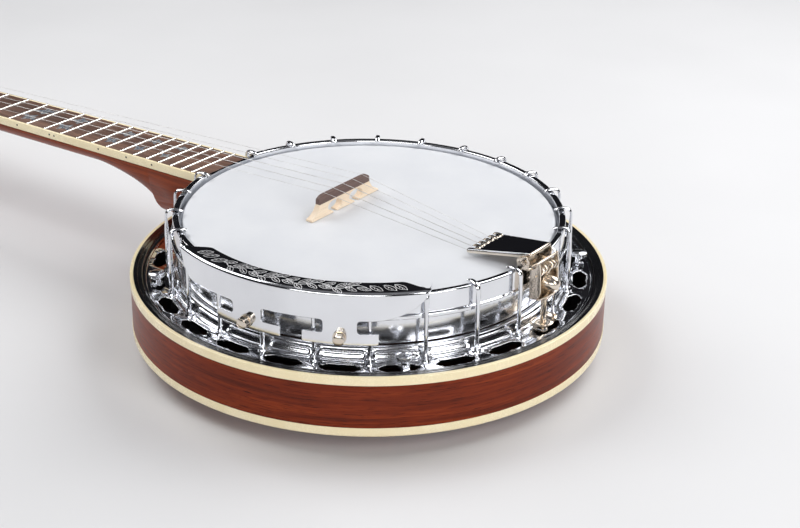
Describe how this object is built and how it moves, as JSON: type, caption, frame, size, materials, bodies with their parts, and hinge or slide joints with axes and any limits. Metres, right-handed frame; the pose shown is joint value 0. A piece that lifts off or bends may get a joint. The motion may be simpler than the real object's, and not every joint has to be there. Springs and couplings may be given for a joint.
{
  "type": "banjo",
  "caption": "Resonator banjo lying on its back: chrome hooked pot with frosted head, armrest, bridge and tailpiece, glossy mahogany resonator and neck with a short drone string.",
  "frame": {"origin": "centre of the resonator back's flat, on the surface that the banjo lies on", "axes": "+Z out through the drum head, -X along the neck to the headstock, +X to the tailpiece, -Y the side of the armrest and of the short fifth string"},
  "size_m": [0.9632, 0.347, 0.1148],
  "materials": {
    "chrome": "polished",
    "nickel": "polished, slightly warm",
    "pearl_button": "pearl gloss",
    "mahogany": "gloss lacquer",
    "maple": "satin",
    "rosewood": "oiled",
    "head_film": "frosted",
    "bone": "polished",
    "steel": "plain"
  },
  "bodies": {
    "banjo": {"tone_ring": "chrome", "tension_hoop": "chrome", "flange": "chrome", "armrest": "chrome", "hook_01": "chrome", "hook_02": "chrome", "hook_03": "chrome", "hook_04": "chrome", "hook_05": "chrome", "hook_06": "chrome", "hook_07": "chrome", "hook_08": "chrome", "hook_09": "chrome", "hook_10": "chrome", "hook_11": "chrome", "hook_12": "chrome", "hook_13": "chrome", "hook_14": "chrome", "hook_15": "chrome", "hook_16": "chrome", "hook_17": "chrome", "hook_18": "chrome", "hook_19": "chrome", "hook_20": "chrome", "hook_21": "chrome", "hook_22": "chrome", "hook_23": "chrome", "hook_24": "chrome", "tailpiece_bracket": "nickel", "tuner_housing_1": "nickel", "tuner_housing_2": "nickel", "tuner_housing_3": "nickel", "tuner_housing_4": "nickel", "resonator": "mahogany", "neck": "mahogany", "rim": "maple", "bridge": "maple", "fingerboard": "rosewood", "drum_head": "head_film", "nut": "bone", "coordinator_rod": "steel", "string_1": "steel", "string_2": "steel", "string_3": "steel", "string_4": "steel", "string_5": "steel"},
    "knob_1": {"tuner_knob_1": "pearl_button"},
    "post_1": {"tuner_post_1": "nickel"},
    "knob_2": {"tuner_knob_2": "pearl_button"},
    "post_2": {"tuner_post_2": "nickel"},
    "knob_3": {"tuner_knob_3": "pearl_button"},
    "post_3": {"tuner_post_3": "nickel"},
    "knob_4": {"tuner_knob_4": "pearl_button"},
    "post_4": {"tuner_post_4": "nickel"},
    "fifth_peg": {"fifth_peg": "nickel"},
    "tail_cover": {"tailpiece_cover": "nickel"},
    "thumbscrew_1": {"thumbscrew_1": "chrome"},
    "thumbscrew_2": {"thumbscrew_2": "chrome"},
    "thumbscrew_3": {"thumbscrew_3": "chrome"},
    "thumbscrew_4": {"thumbscrew_4": "chrome"}
  },
  "joints": [
    {"name": "tuner_1_knob", "type": "hinge", "parent": "banjo", "child": "knob_1", "pos_m": [-0.67941, 0.027, 0.029], "axis": [-0.2202, 0, 0.9755], "continuous": true},
    {"name": "tuner_1_post", "type": "hinge", "parent": "banjo", "child": "post_1", "pos_m": [-0.68954, 0.027, 0.07387], "axis": [-0.2202, 0, 0.9755], "continuous": true},
    {"name": "tuner_2_knob", "type": "hinge", "parent": "banjo", "child": "knob_2", "pos_m": [-0.73111, 0.027, 0.01733], "axis": [-0.2202, 0, 0.9755], "continuous": true},
    {"name": "tuner_2_post", "type": "hinge", "parent": "banjo", "child": "post_2", "pos_m": [-0.74123, 0.027, 0.06221], "axis": [-0.2202, 0, 0.9755], "continuous": true},
    {"name": "tuner_3_knob", "type": "hinge", "parent": "banjo", "child": "knob_3", "pos_m": [-0.73111, -0.02, 0.01733], "axis": [-0.2202, 0, 0.9755], "continuous": true},
    {"name": "tuner_3_post", "type": "hinge", "parent": "banjo", "child": "post_3", "pos_m": [-0.74123, -0.02, 0.06221], "axis": [-0.2202, 0, 0.9755], "continuous": true},
    {"name": "tuner_4_knob", "type": "hinge", "parent": "banjo", "child": "knob_4", "pos_m": [-0.67941, -0.02, 0.029], "axis": [-0.2202, 0, 0.9755], "continuous": true},
    {"name": "tuner_4_post", "type": "hinge", "parent": "banjo", "child": "post_4", "pos_m": [-0.68954, -0.02, 0.07387], "axis": [-0.2202, 0, 0.9755], "continuous": true},
    {"name": "fifth_peg_turn", "type": "hinge", "parent": "banjo", "child": "fifth_peg", "pos_m": [-0.47948, -0.01707, 0.07471], "axis": [0, -1, 0], "continuous": true},
    {"name": "tailpiece_cover_flip", "type": "hinge", "parent": "banjo", "child": "tail_cover", "pos_m": [0.1415, 0, 0.1045], "axis": [0, 1, 0], "range_deg": [0, 70]},
    {"name": "thumbscrew_1_turn", "type": "hinge", "parent": "banjo", "child": "thumbscrew_1", "pos_m": [0.11874, 0.09963, 0.06], "axis": [0, 0, 1], "continuous": true},
    {"name": "thumbscrew_2_turn", "type": "hinge", "parent": "banjo", "child": "thumbscrew_2", "pos_m": [-0.11874, 0.09963, 0.06], "axis": [0, 0, 1], "continuous": true},
    {"name": "thumbscrew_3_turn", "type": "hinge", "parent": "banjo", "child": "thumbscrew_3", "pos_m": [-0.09963, -0.11874, 0.06], "axis": [0, 0, 1], "continuous": true},
    {"name": "thumbscrew_4_turn", "type": "hinge", "parent": "banjo", "child": "thumbscrew_4", "pos_m": [0.1115, -0.10767, 0.06], "axis": [0, 0, 1], "continuous": true}
  ],
  "couplings": [
    {"joint": "tuner_1_post", "follows": "tuner_1_knob", "ratio": 0.25},
    {"joint": "tuner_2_post", "follows": "tuner_2_knob", "ratio": 0.25},
    {"joint": "tuner_3_post", "follows": "tuner_3_knob", "ratio": 0.25},
    {"joint": "tuner_4_post", "follows": "tuner_4_knob", "ratio": 0.25}
  ]
}
